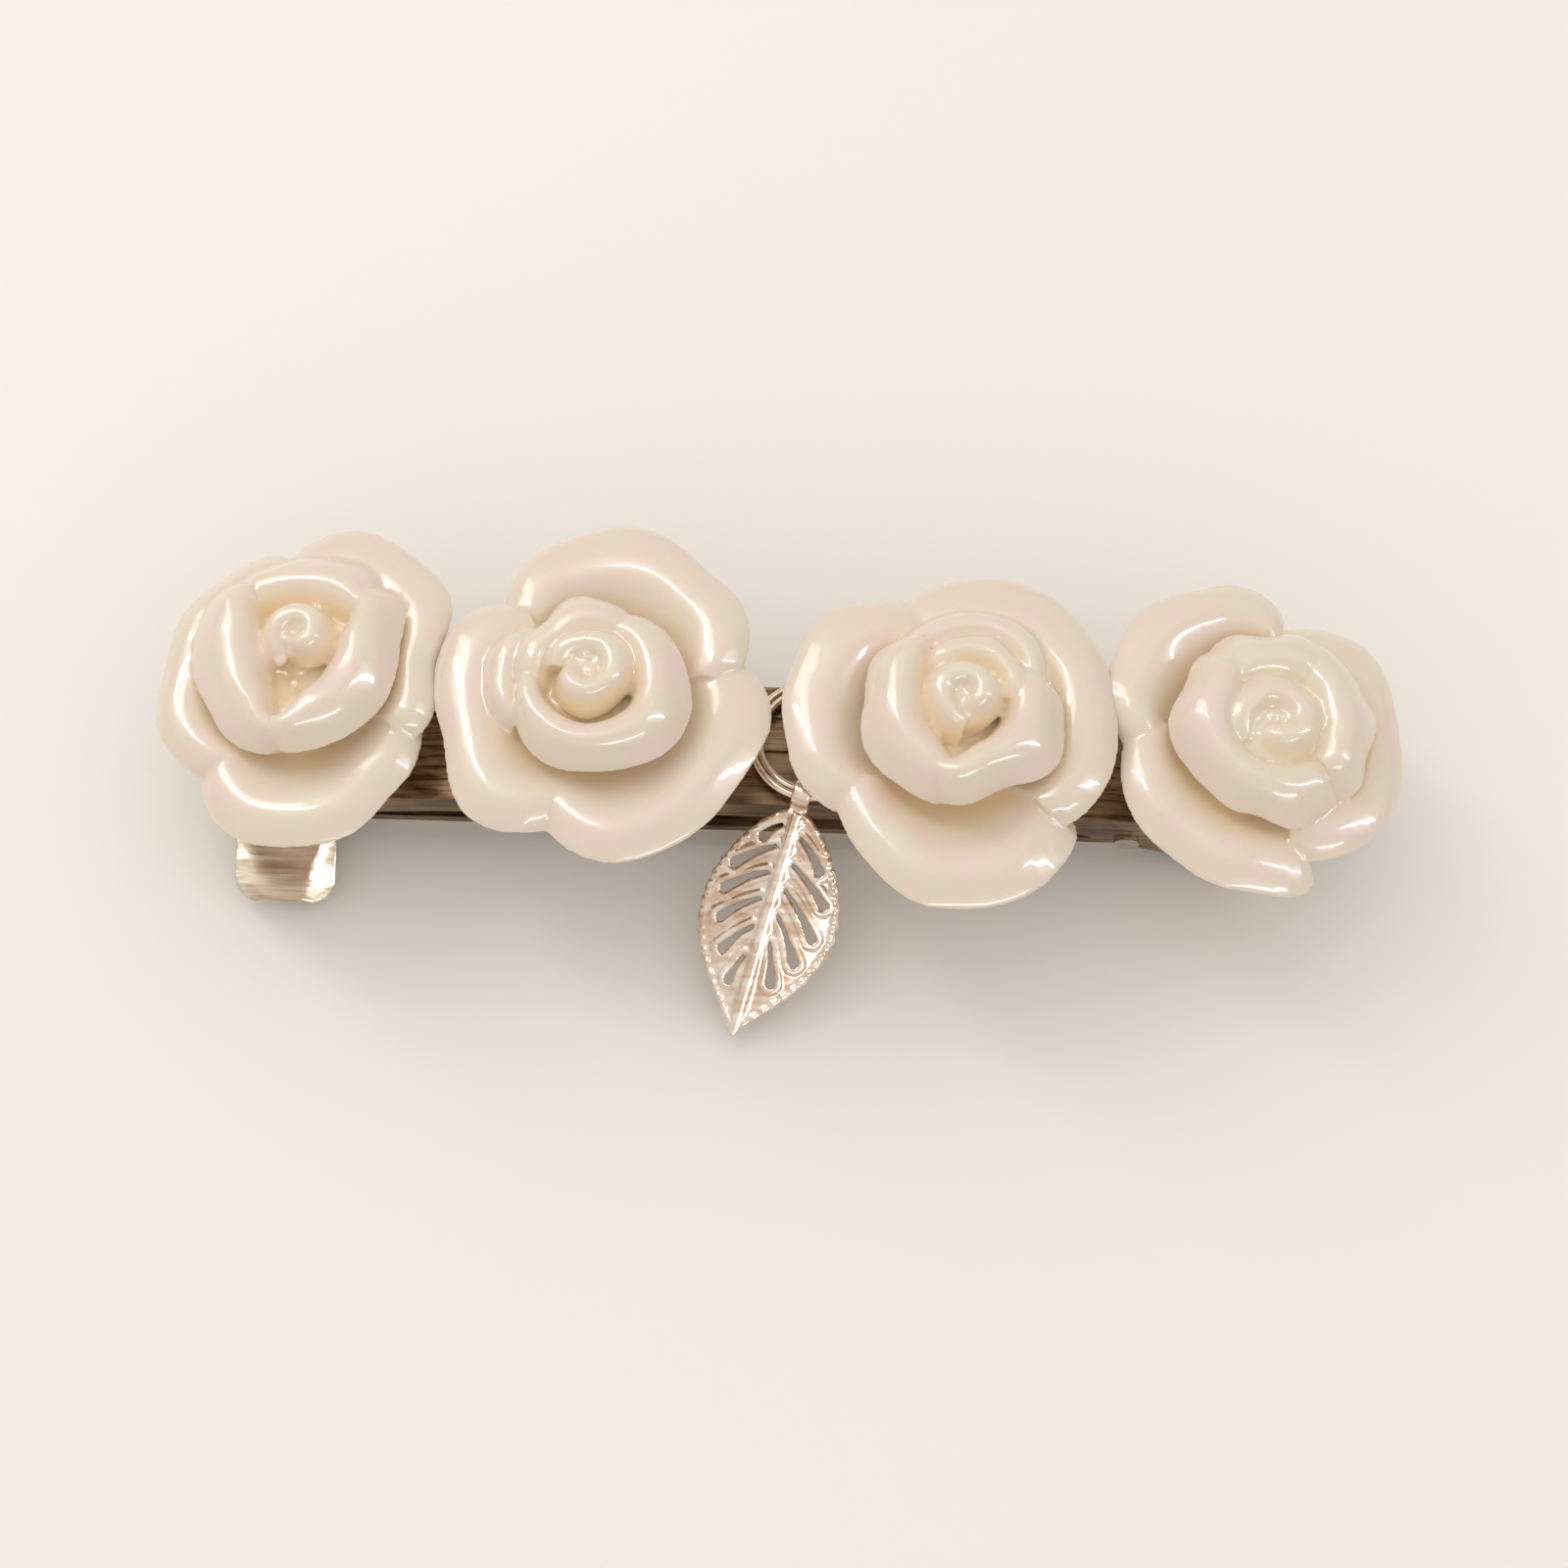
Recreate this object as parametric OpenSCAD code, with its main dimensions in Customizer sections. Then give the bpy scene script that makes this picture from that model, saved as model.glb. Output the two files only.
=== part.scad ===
// Flower hair clip: a sprung metal barrette with four glazed ceramic roses and a leaf charm.
// Millimetres. X runs along the bar with the hinge at +X, the front is -Y, and the arm lies on z = 0.

/* [Bar] */
// Length of the arched bar
bar_length = 80; // [60:1:100]
// Width of the bar
bar_width = 9.2; // [8:0.1:12]
// Sheet thickness of the bar
bar_sheet = 0.7; // [0.5:0.05:1.0]
// Radius of the arch along the bar
bar_radius = 300; // [200:10:500]
// Height of the bar's top at the middle
bar_top = 10; // [8:0.5:13]
// Depth of the turned-down edges
flange_depth = 2.5; // [1.5:0.1:3.5]

/* [Arm and hinge] */
// Half width of the swinging arm's strip
arm_half_width = 2.8; // [2.0:0.1:3.2]
// Thickness of the arm's strip
arm_sheet = 0.9; // [0.6:0.1:1.2]
// Hinge pin position along the bar
hinge_x = 35.2; // [34:0.1:36]
// Hinge pin radius
hinge_pin_r = 0.75; // [0.6:0.05:0.9]
// Running clearance round both pins
pin_clearance = 0.05; // [0.03:0.01:0.08]

/* [Clasp] */
// Width of the clasp fingers along the bar
finger_width = 7.3; // [6:0.1:8]
// Sheet thickness of the clasp fingers
finger_sheet = 0.5; // [0.4:0.05:0.7]
// How far the finger wings reach from the centre line
wing_reach = 10.3; // [8:0.1:11]

/* [Roses] */
// Thickness of a petal
petal_sheet = 1.25; // [0.9:0.05:1.6]
// Depth of the glue under each rose
glue_depth = 0.7; // [0.4:0.1:1.2]
// Half the angle that one facet of a petal spans
petal_step = 6; // [3:0.5:9]
// Steps up a petal
petal_up = 7; // [4:1:9]

/* [Charm] */
// Mean radius of the double-strand ring
ring_r = 4.2; // [3.5:0.1:5.5]
// Radius of one strand of wire
wire_r = 0.3; // [0.2:0.05:0.4]
// Turn of the leaf about the vertical
charm_turn = -17; // [-25:1:10]
// Where the leaf hangs on the ring, as an angle from the front
hang_at = -8; // [-20:1:10]
// Slope of the leaf below the level
leaf_slope = 32; // [20:1:34]
// Length of the leaf from the bail's axis to the tip
leaf_length = 18.8; // [14:0.1:20]
// Half the width of the leaf
leaf_half = 5; // [4:0.1:6]

/* [Hidden] */
$fn = 48;
half = bar_width/2;
arc_z = bar_top - bar_radius;
bar_half_angle = bar_length/2/bar_radius*180/PI;
hinge_z = 1.6;
bow_x = 25.7;
bow_z = 5.2;
bow_pin_r = 0.6;
ring_at = [2.6, 0, 11.2];
clasp_x = -36;
// rose: place along the bar, offset across it, middle of the cup, radius of the cup's wall,
// and the middle, radius and top of the closed bud
roses = [
  [-33.6, 1.9, [-0.2, 1.2], 5.2, [0, 2.5, 1.6, 8.9]],
  [-12.6, 1.1, [0, 0], 4.7, [-0.6, 0.4, 2.0, 9.2]],
  [12.3, -1.5, [0.8, 1.0], 5.1, [0.8, 1.9, 2.1, 9.75]],
  [33.8, 0.2, [0.9, 0], 5.2, [1.0, -0.2, 3.0, 8.95]]
];
// petal: middle angle, half angle, reaches at five even steps across it, crest height,
// and for a petal of the cup its inner radii at the same steps and its own middle
outer_petals = [
  [[39, 65, [9.5, 9.5, 11.9, 12.6, 11.0], 5.75], [165, 66, [10.6, 10.7, 10.0, 10.9, 10.2], 6.0],
    [284, 60, [10.6, 12.6, 11.6, 10.3, 9.3], 5.2]],
  [[76, 64, [10.8, 12.4, 13.0, 12.6, 10.4], 5.6], [-46, 66, [11.0, 12.5, 12.2, 12.0, 11.2], 5.4],
    [193, 60, [10.6, 11.7, 11.5, 12.5, 11.4], 6.0]],
  [[37, 73, [10.8, 11.5, 12.9, 12.9, 12.2], 6.0], [160, 54, [12.0, 12.7, 12.4, 11.7, 9.8], 5.7],
    [-92, 60, [9.6, 10.8, 12.3, 12.6, 11.4], 5.3]],
  [[133, 54, [10.6, 12.0, 11.9, 11.4, 9.9], 5.9], [5, 75, [10.0, 10.8, 10.6, 10.6, 9.6], 5.7],
    [235, 58, [9.5, 10.3, 10.8, 11.6, 12.0], 5.3]]
];
inner_petals = [
  [[193, 66, [7.8, 7.5, 7.4, 6.9, 7.2], 9.0, [5.2, 2.8, 2.0, 2.9, 5.4], [-0.2, 1.2]],
    [-28, 74, [7.3, 6.6, 6.9, 7.2, 8.2], 9.2, [5.4, 2.9, 2.6, 2.9, 5.4], [-0.2, 1.2]],
    [85, 52, [7.4, 7.9, 8.0, 7.9, 7.6], 8.2, [5.2, 4.6, 4.4, 4.6, 5.2], [-0.2, 1.2]],
    [60, 158, [1.6, 1.9, 2.2, 2.4, 2.6], 9.2, [0.4, 0.6, 0.8, 1.0, 1.2], [0, 2.5]]],
  [[-50, 128, [5.6, 6.4, 6.5, 6.1, 6.2], 9.0, [4.6, 3.8, 3.2, 2.8, 3.4], [0, 0]],
    [128, 56, [6.4, 6.8, 6.0, 6.5, 6.0], 8.6, [3.4, 3.4, 3.6, 3.8, 4.0], [0, 0]],
    [172, 32, [7.0, 8.1, 8.2, 8.0, 7.2], 7.4, [6.0, 6.0, 6.0, 6.0, 6.0], [0, 0]],
    [0, 165, [2.1, 2.5, 2.8, 3.0, 3.2], 9.5, [0.9, 1.1, 1.3, 1.6, 2.0], [-0.6, 0.4]]],
  [[195, 68, [6.4, 7.0, 7.1, 7.3, 7.4], 9.0, [4.8, 3.4, 3.1, 3.3, 4.6], [0.8, 1.9]],
    [-37, 68, [7.3, 6.6, 7.2, 6.8, 5.8], 9.2, [5.0, 3.5, 3.0, 3.0, 3.6], [0.8, 1.9]],
    [78, 62, [6.2, 7.0, 7.2, 7.0, 6.6], 8.2, [4.6, 5.2, 5.3, 5.0, 4.8], [0.8, 1.9]],
    [70, 64, [4.2, 4.8, 5.0, 4.9, 4.6], 8.9, [3.0, 3.1, 3.1, 3.1, 3.0], [0.8, 1.9]],
    [100, 162, [1.7, 2.1, 2.4, 2.6, 2.7], 9.9, [0.4, 0.6, 0.9, 1.2, 1.5], [0.8, 1.9]]],
  [[190, 64, [7.2, 6.9, 6.8, 6.4, 6.2], 8.9, [3.6, 3.0, 2.8, 3.0, 3.4], [0.9, 0]],
    [14, 56, [7.2, 6.9, 6.8, 7.2, 8.0], 9.2, [3.6, 3.2, 3.0, 3.2, 3.6], [0.9, 0]],
    [270, 48, [6.2, 6.3, 6.6, 6.9, 7.0], 8.6, [3.2, 3.2, 3.2, 3.2, 3.4], [0.9, 0]],
    [100, 46, [7.2, 7.2, 7.0, 7.0, 6.8], 8.8, [3.4, 3.4, 3.4, 3.4, 3.4], [0.9, 0]],
    [40, 165, [2.2, 2.8, 3.3, 3.9, 4.3], 9.3, [0.4, 0.6, 0.9, 1.4, 1.9], [1.0, -0.2]]]
];
calyx_r = 3.4;

// ---- helpers ----

// puts a piece on the arch at distance x along the bar
module on_arc(x) {
  translate([0, 0, arc_z]) rotate([0, asin(x/bar_radius), 0]) translate([0, 0, bar_radius]) children();
}

// sweeps a radius-and-width outline along the arch
module along_arch(part_angle) {
  translate([0, 0, arc_z]) rotate([90, 0, 0]) rotate([0, 0, 90 - part_angle])
    rotate_extrude(angle = 2*part_angle, $fn = 480) children();
}

// extrudes an outline drawn in X and Z across the bar
module across(width) {
  translate([0, width/2, 0]) rotate([90, 0, 0]) linear_extrude(width) children();
}

// outline of the bar: top sheet with three low ribs, and its turned-down edges
rib_ys = [-2.6, 0, 2.6];
rib_high = 0.25;
rib_half = 0.5;
rib_steps = [[0, -rib_half], [rib_high, -rib_half], [rib_high, rib_half], [0, rib_half]];
module top_outline(depth, side) {
  inner = side - bar_sheet;
  polygon(concat(
    [[bar_radius - depth, -side], [bar_radius, -side]],
    [for (y = rib_ys, d = rib_steps) [bar_radius + d[0], y + d[1]]],
    [[bar_radius, side], [bar_radius - depth, side]],
    [[bar_radius - depth, inner], [bar_radius - bar_sheet, inner],
      [bar_radius - bar_sheet, -inner], [bar_radius - depth, -inner]]));
}

module bar_plan() {
  x = bar_length/2 + 1;
  y = half + 1;
  cut = 3.4;
  polygon([[x, -y + cut], [x, y - cut], [x - cut, y], [-x + cut, y], [-x, y - cut], [-x, -y + cut],
    [-x + cut, -y], [x - cut, -y]]);
}

module ear_outline() {
  polygon([[20.5, 8.9], [20.5, 6.7], [29, 2.6], [33.9, 0.62], [35.2, 0.15], [36.6, 0.62],
    [37.5, 1.9], [38.2, 4.6], [38.2, 7.2]]);
}

// ---- metal base ----

module face_bar() color("#6f5a46") {
  difference() {
    union() {
      intersection() {
        along_arch(bar_half_angle) top_outline(flange_depth, half);
        linear_extrude(30) bar_plan();
      }
      for (s = [-1, 1]) translate([0, s*(half - bar_sheet/2), 0]) across(bar_sheet - 0.04) ear_outline();
    }
    translate([hinge_x, 0, hinge_z]) rotate([90, 0, 0]) cylinder(r = hinge_pin_r, h = 20, center = true);
    translate([bow_x, 0, bow_z]) rotate([90, 0, 0]) cylinder(r = bow_pin_r, h = 20, center = true);
    translate([clasp_x, 0, 0]) cylinder(r = 0.7, h = 20);
  }
}

module headed_pin(x, z, r, head_r, head) {
  translate([x, 0, z]) rotate([90, 0, 0]) {
    cylinder(r = r, h = bar_width, center = true);
    for (s = [-1, 1]) translate([0, 0, s*(half + head/2)]) cylinder(r = head_r, h = head, center = true);
  }
}

module hinge_pin() color("#b9b3a8") headed_pin(hinge_x, hinge_z, hinge_pin_r, 1.2, 0.4);

module bow_pin() color("#b9b3a8") headed_pin(bow_x, bow_z, bow_pin_r, 0.95, 0.35);

module swing_arm() color("#8a7a66") {
  difference() {
    union() {
      intersection() {
        across(2*arm_half_width) polygon([[hinge_x, 0], [-31.4, 0], [-33, 1.2], [-40, 1.2], [-40, 2.1],
          [-32.6, 2.1], [-31, arm_sheet], [hinge_x, arm_sheet]]);
        linear_extrude(10) {
          translate([-38.6, -arm_half_width]) square([hinge_x + 38.6, 2*arm_half_width]);
          translate([-40, -arm_half_width + 1.4]) square([10, 2*arm_half_width - 2.8]);
          for (s = [-1, 1]) translate([-38.6, s*(arm_half_width - 1.4)]) circle(1.4);
        }
      }
      translate([-29, -0.8, arm_sheet - 0.3]) cube([58, 1.6, 0.65]);
      translate([hinge_x, 0, hinge_z]) rotate([90, 0, 0])
        cylinder(r = 1.55, h = 2*(half - bar_sheet) - 0.4, center = true);
    }
    translate([hinge_x, 0, hinge_z]) rotate([90, 0, 0])
      cylinder(r = hinge_pin_r + pin_clearance, h = 20, center = true);
    translate([-38.1, -2.2, -1]) cube([4.2, 4.4, 5]);
  }
}

// underside of the bow's strip at distance x along the bar
function bow_under(x) = bow_z + 0.65 + 0.3*pow((bow_x - x)/47.7, 2);

module tension_bow() color("#8f8068") {
  steps = 16;
  difference() {
    union() {
      across(5) polygon(concat(
        [for (i = [0:steps]) let (x = bow_x - i*47.7/steps) [x, bow_under(x)]],
        [for (i = [steps:-1:0]) let (x = bow_x - i*47.7/steps) [x, bow_under(x) + 0.4]]));
      translate([bow_x, 0, bow_z]) rotate([90, 0, 0]) cylinder(r = 1.05, h = 5, center = true);
    }
    translate([bow_x, 0, bow_z]) rotate([90, 0, 0])
      cylinder(r = bow_pin_r + pin_clearance, h = 20, center = true);
  }
}

module clasp_plate() color("#b5a78f") {
  difference() {
    intersection() {
      translate([clasp_x - finger_width/2, -3.3, 6.1]) cube([finger_width, 6.6, 3]);
      on_arc(clasp_x) translate([-10, -10, -20 - bar_sheet - 0.03]) cube(20);
    }
    translate([clasp_x, 0, 0]) cylinder(r = 0.7, h = 20);
  }
}

module clasp_rivet() color("#b9b3a8") {
  translate([clasp_x, 0, 6.0]) cylinder(r = 0.7, h = 1.7);
  translate([clasp_x, 0, 5.6]) cylinder(r = 0.85, h = 0.5);
}

// one clasp finger: leg, hook tab and wing, drawn for the +Y side
module finger() {
  leg = 1.1;
  t = finger_sheet;
  x0 = clasp_x - finger_width/2;
  intersection() {
    translate([x0, 0, 0]) rotate([90, 0, 90]) linear_extrude(finger_width) polygon([[leg, 5.95], [leg, 2.6],
      [3.0, 2.6], [6.5, 2.4], [wing_reach, 1.6], [wing_reach, 1.6 + t], [6.5, 2.9], [3.0, 3.2],
      [leg + t, 3.4], [leg + t, 5.95]]);
    linear_extrude(10) {
      translate([x0, 0]) square([finger_width, wing_reach - 2]);
      translate([x0 + 2, 0]) square([finger_width - 4, wing_reach]);
      for (x = [x0 + 2, x0 + finger_width - 2]) translate([x, wing_reach - 2]) circle(2);
    }
  }
  translate([clasp_x - 1.2, leg, 0.4]) cube([2.4, t, 3]);
}

module front_ear() color("#cfc6b4") mirror([0, 1, 0]) finger();

module rear_ear() color("#cfc6b4") finger();

// ---- glue ----

module glue_pad(k) {
  r = roses[k];
  lobe = 1.05;
  difference() {
    union() {
      on_arc(r[0]) {
        translate([0, 0.55*r[1], 0]) cylinder(r = 3.4, h = glue_depth);
        if (k == 2) translate([-6, ring_at[1] - lobe, 0]) cube([6, 2*lobe, glue_depth]);
      }
      // the lobe of glue that holds the ring down
      if (k == 2) translate([5.0, ring_at[1] - lobe, 10]) cube([2.3, 2*lobe, 1.75]);
    }
    on_arc(r[0]) for (y = rib_ys) translate([-10, y - rib_half, -1]) cube([20, 2*rib_half, 1 + rib_high]);
    if (k == 2) translate(ring_at) rotate_extrude() translate([ring_r, 0]) square([1.5, 0.7], center = true);
  }
}

module glue_pad_1() color("#e9e2d2") glue_pad(0);
module glue_pad_2() color("#e9e2d2") glue_pad(1);
module glue_pad_3() color("#e9e2d2") glue_pad(2);
module glue_pad_4() color("#e9e2d2") glue_pad(3);

// ---- roses ----

// value at t from -1 to 1 along five even steps, smoothly between them
function along_steps(a, t) = let (x = (t + 1)*2, i = min(3, floor(x)), w = x - i)
  a[i] + (a[i + 1] - a[i])*w*w*(3 - 2*w);

function bend(a, b, c, d, v) = pow(1 - v, 3)*a + 3*v*pow(1 - v, 2)*b + 3*v*v*(1 - v)*c + pow(v, 3)*d;

// middle surface of a layer's petal number j, for u from -1 to 1 across it and v from 0 to 1 up it:
// an outer petal rises slowly to a crest inside its rim, and a cup petal stands up and rolls outwards
function petal_mid(p, cup, j, u, v) = let (
    reach = along_steps(p[2], u)*(1 - 0.03*pow(u, 4) - 0.04*pow(u, 12)),
    crest = p[3]*(1 - 0.06*pow(u, 4)) - 0.3*u,
    foot = cup ? along_steps(p[4], u) : calyx_r - 0.13*j,
    out = reach - foot,
    r = cup ? bend(foot - 0.25, foot, foot + 0.58*out, reach, v)
      : bend(foot, foot + 0.42*out, foot + 0.63*out, reach, v),
    h = cup ? bend(2.2 + 0.17*j, 1.2*crest, 1.12*crest, crest - 2.4, v)
      : bend(1.2 + 0.17*j, 1.6 + 0.17*j, 1.43*crest, crest - 1.1, v),
    a = p[0] + u*p[1])
  [r*cos(a), r*sin(a), h];

function unit(a) = a/norm(a);

// direction out of the petal's inner face
function petal_up_at(p, cup, j, u, v) = let (
    e = 0.01,
    along = petal_mid(p, cup, j, min(1, u + e), v) - petal_mid(p, cup, j, max(-1, u - e), v),
    up = petal_mid(p, cup, j, u, min(1, v + e)) - petal_mid(p, cup, j, u, max(0, v - e)))
  unit(cross(up, along));

// half thickness: thinner at the edges, and where a cup petal folds over tightly
function petal_half(p, cup, u, v) =
  (cup ? min(0.45*petal_sheet, 0.36*(along_steps(p[2], u) - along_steps(p[4], u))) : petal_sheet/2)
  *(1 - 0.5*max(pow(abs(u), 8), pow(v, 10)));

module petal(p, cup, j) {
  nu = ceil(p[1]/petal_step);
  nv = petal_up;
  row = nv + 1;
  count = (nu + 1)*row;
  points = [for (side = [1, -1], i = [0:nu], j = [0:nv]) let (u = 2*i/nu - 1, v = j/nv)
    petal_mid(p, cup, j, u, v) + side*petal_half(p, cup, u, v)*petal_up_at(p, cup, j, u, v)];
  quads = concat(
    [for (i = [0:nu - 1], j = [0:nv - 1]) [i*row + j, (i + 1)*row + j, (i + 1)*row + j + 1, i*row + j + 1]],
    [for (i = [0:nu - 1], j = [0:nv - 1]) [count + i*row + j, count + i*row + j + 1,
      count + (i + 1)*row + j + 1, count + (i + 1)*row + j]],
    [for (j = [0:nv - 1]) [j, j + 1, count + j + 1, count + j]],
    [for (j = [0:nv - 1]) [nu*row + j + 1, nu*row + j, count + nu*row + j, count + nu*row + j + 1]],
    [for (i = [0:nu - 1]) [(i + 1)*row, i*row, count + i*row, count + (i + 1)*row]],
    [for (i = [0:nu - 1]) [i*row + nv, (i + 1)*row + nv, count + (i + 1)*row + nv, count + i*row + nv]]);
  polyhedron(points, [for (q = quads, t = [[q[0], q[1], q[2]], [q[0], q[2], q[3]]]) t]);
}

module place_rose(k) {
  r = roses[k];
  on_arc(r[0]) translate([0, r[1], glue_depth]) children();
}

module rose_core(k) {
  r = roses[k];
  w = r[3];
  place_rose(k) {
    rotate_extrude() polygon([[0, 0], [4.0, 0], [4.3, 0.5], [4.3, 1.2], [3.6, 2.1], [0, 2.1]]);
    translate([r[2][0], r[2][1], 1]) rotate_extrude() polygon([[0, 0], [2.6, 0], [w - 0.9, 1.2], [w - 0.2, 3],
      [w, 5], [w - 0.6, 6.0], [w - 1.6, 6.5], [0, 6.7]]);
    // the closed bud in the middle of the cup
    bud = r[4];
    translate([bud[0], bud[1], 0]) rotate_extrude() polygon([[0, 5.5], [bud[2], 5.5], [bud[2], bud[3] - 1.2],
      [0.8*bud[2], bud[3] - 0.5], [0.45*bud[2], bud[3] - 0.12], [0, bud[3]]]);
  }
}

// the petals of one layer become one shell here
module rose_layer(k, petals, cup) place_rose(k) resize([0, 0, 0]) union() {
  for (j = [0:len(petals) - 1]) translate(cup ? petals[j][5] : [0, 0]) petal(petals[j], cup, j);
}

module rose_1_core() color("#eadfc9") rose_core(0);
module rose_1_inner_petals() color("#eadfc9") rose_layer(0, inner_petals[0], true);
module rose_1_outer_petals() color("#eadfc9") rose_layer(0, outer_petals[0], false);
module rose_2_core() color("#eadfc9") rose_core(1);
module rose_2_inner_petals() color("#eadfc9") rose_layer(1, inner_petals[1], true);
module rose_2_outer_petals() color("#eadfc9") rose_layer(1, outer_petals[1], false);
module rose_3_core() color("#eadfc9") rose_core(2);
module rose_3_inner_petals() color("#eadfc9") rose_layer(2, inner_petals[2], true);
module rose_3_outer_petals() color("#eadfc9") rose_layer(2, outer_petals[2], false);
module rose_4_core() color("#eadfc9") rose_core(3);
module rose_4_inner_petals() color("#eadfc9") rose_layer(3, inner_petals[3], true);
module rose_4_outer_petals() color("#eadfc9") rose_layer(3, outer_petals[3], false);

// ---- ring and leaf ----

module charm_ring() color("#cdb79a") translate(ring_at) {
  for (r = [ring_r - 0.26, ring_r + 0.26]) rotate_extrude() translate([r, 0]) circle(wire_r, $fn = 24);
}

blade_start = 1.4;
// half width of the leaf's blade at distance s from the bail's axis
function blade_half(s) = let (t = max(0, min(1, (s - blade_start)/(leaf_length - blade_start))))
  leaf_half*pow(sin(180*pow(t, 0.936)), 0.6 + 0.62*t);

module leaf_outline() {
  n = 22;
  stations = [for (i = [0:n]) blade_start + (leaf_length - blade_start)*i/n];
  polygon(concat([for (s = stations) [blade_half(s), -s]],
    [for (i = [n - 1:-1:1]) [-blade_half(stations[i]), -stations[i]]]));
  translate([-0.65, -blade_start - 0.6]) square([1.3, blade_start]);
}

// slots between the veins: side, distance from the bail at the midrib and at the rim, reach across
slots = [[-1, 2.6, 3.9, 1.9], [-1, 4.2, 6.5, 3.4], [-1, 6.2, 8.5, 3.6], [-1, 8.2, 10.6, 3.3],
  [-1, 10.4, 12.8, 2.5], [-1, 12.7, 14.8, 1.4], [1, 3.2, 5.2, 2.7], [1, 5.2, 7.6, 3.6], [1, 7.2, 10.2, 3.5],
  [1, 9.2, 12.3, 2.8], [1, 11.3, 14.2, 1.6]];

module leaf_slots() for (q = slots) scale([q[0], 1])
  polygon([[0.7, 0.25 - q[1]], [q[3], 0.42 - q[2]], [q[3] + 0.25, 0.1 - q[2]], [q[3] + 0.1, -0.42 - q[2]],
    [q[3] - 0.3, -0.45 - q[2]], [0.7, -0.4 - q[1]]]);

module leaf_charm() color("#d6b491")
translate(ring_at + ring_r*[sin(hang_at), -cos(hang_at), 0])
rotate([0, 0, charm_turn]) rotate([leaf_slope, 0, 0]) {
  dome = 10.5;
  difference() {
    union() {
      intersection() {
        translate([0, 0, -dome]) rotate([90, 0, 0]) difference() {
          cylinder(r = dome + 0.25, h = 40, $fn = 96);
          translate([0, 0, -1]) cylinder(r = dome - 0.25, h = 42, $fn = 96);
        }
        translate([0, 0, -4]) linear_extrude(8) difference() {
          leaf_outline();
          leaf_slots();
        }
      }
      translate([0, -1.6, 0.1]) rotate([90, 0, 0])
        cylinder(r1 = 0.42, r2 = 0.25, h = leaf_length - 2.8, $fn = 24);
      rotate([0, 90, 0]) cylinder(r = 1.0, h = 1.4, center = true);
    }
    rotate([0, 90, 0]) cylinder(r = 0.72, h = 5, center = true);
  }
}

// ---- output ----

face_bar();
hinge_pin();
swing_arm();
tension_bow();
bow_pin();
clasp_plate();
clasp_rivet();
front_ear();
rear_ear();
glue_pad_1();
glue_pad_2();
glue_pad_3();
glue_pad_4();
rose_1_core();
rose_1_inner_petals();
rose_1_outer_petals();
rose_2_core();
rose_2_inner_petals();
rose_2_outer_petals();
rose_3_core();
rose_3_inner_petals();
rose_3_outer_petals();
rose_4_core();
rose_4_inner_petals();
rose_4_outer_petals();
charm_ring();
leaf_charm();
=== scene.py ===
# Flower hair clip: four pearl-glazed ceramic roses on a sprung metal barrette, with a pierced leaf charm.
# Everything is in metres in the frame's own axes; the dictionaries below are in millimetres.
import bpy
import bmesh
import math
import random
from mathutils import Matrix, Vector


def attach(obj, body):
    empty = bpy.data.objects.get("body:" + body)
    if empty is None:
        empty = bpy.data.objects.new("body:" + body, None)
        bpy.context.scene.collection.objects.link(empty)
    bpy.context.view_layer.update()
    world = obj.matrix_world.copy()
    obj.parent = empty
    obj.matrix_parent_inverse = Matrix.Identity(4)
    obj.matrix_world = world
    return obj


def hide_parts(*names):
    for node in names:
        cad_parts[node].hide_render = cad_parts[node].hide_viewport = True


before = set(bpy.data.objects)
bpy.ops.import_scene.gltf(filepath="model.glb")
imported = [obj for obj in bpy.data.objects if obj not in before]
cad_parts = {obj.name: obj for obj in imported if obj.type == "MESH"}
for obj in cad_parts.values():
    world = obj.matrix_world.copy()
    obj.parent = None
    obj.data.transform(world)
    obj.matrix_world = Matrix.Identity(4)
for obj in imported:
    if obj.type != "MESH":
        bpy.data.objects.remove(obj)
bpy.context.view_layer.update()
mm = 0.001
print("frame loaded:", len(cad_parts), "nodes")


def srgb(hexValue):
    # "e8dcc8" to linear red, green and blue, and an alpha of 1
    parts = [int(hexValue[i:i + 2], 16) / 255 for i in (0, 2, 4)]
    return tuple(p / 12.92 if p <= 0.04045 else ((p + 0.055) / 1.055) ** 2.4 for p in parts) + (1.0,)


def addNode(material, kind, settings=None, links=None):
    # adds one node, sets its properties and sockets, and links its inputs from other nodes' outputs
    node = material.node_tree.nodes.new(kind)
    for key, value in (settings or {}).items():
        if isinstance(key, str) and hasattr(node, key):
            setattr(node, key, value)
        else:
            node.inputs[key].default_value = value
    for key, source in (links or {}).items():
        material.node_tree.links.new(source, node.inputs[key])
    return node


def newMaterial(name, shaderValues):
    material = bpy.data.materials.new(name)
    material.use_nodes = True
    shader = material.node_tree.nodes["Principled BSDF"]
    for key, value in shaderValues.items():
        shader.inputs[key].default_value = value
    return material, shader


def joinTo(material, source, node, socket):
    material.node_tree.links.new(source, node.inputs[socket])


def setRamp(rampNode, stops):
    ramp = rampNode.color_ramp
    while len(ramp.elements) > 1:
        ramp.elements.remove(ramp.elements[-1])
    ramp.elements[0].position, ramp.elements[0].color = stops[0]
    for place, colour in stops[1:]:
        ramp.elements.new(place).color = colour


def newObject(name, bm, material, smooth=True):
    mesh = bpy.data.meshes.new(name)
    bm.to_mesh(mesh)
    bm.free()
    for face in mesh.polygons:
        face.use_smooth = smooth
    mesh.materials.append(material)
    obj = bpy.data.objects.new(name, mesh)
    bpy.context.scene.collection.objects.link(obj)
    return obj


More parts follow.
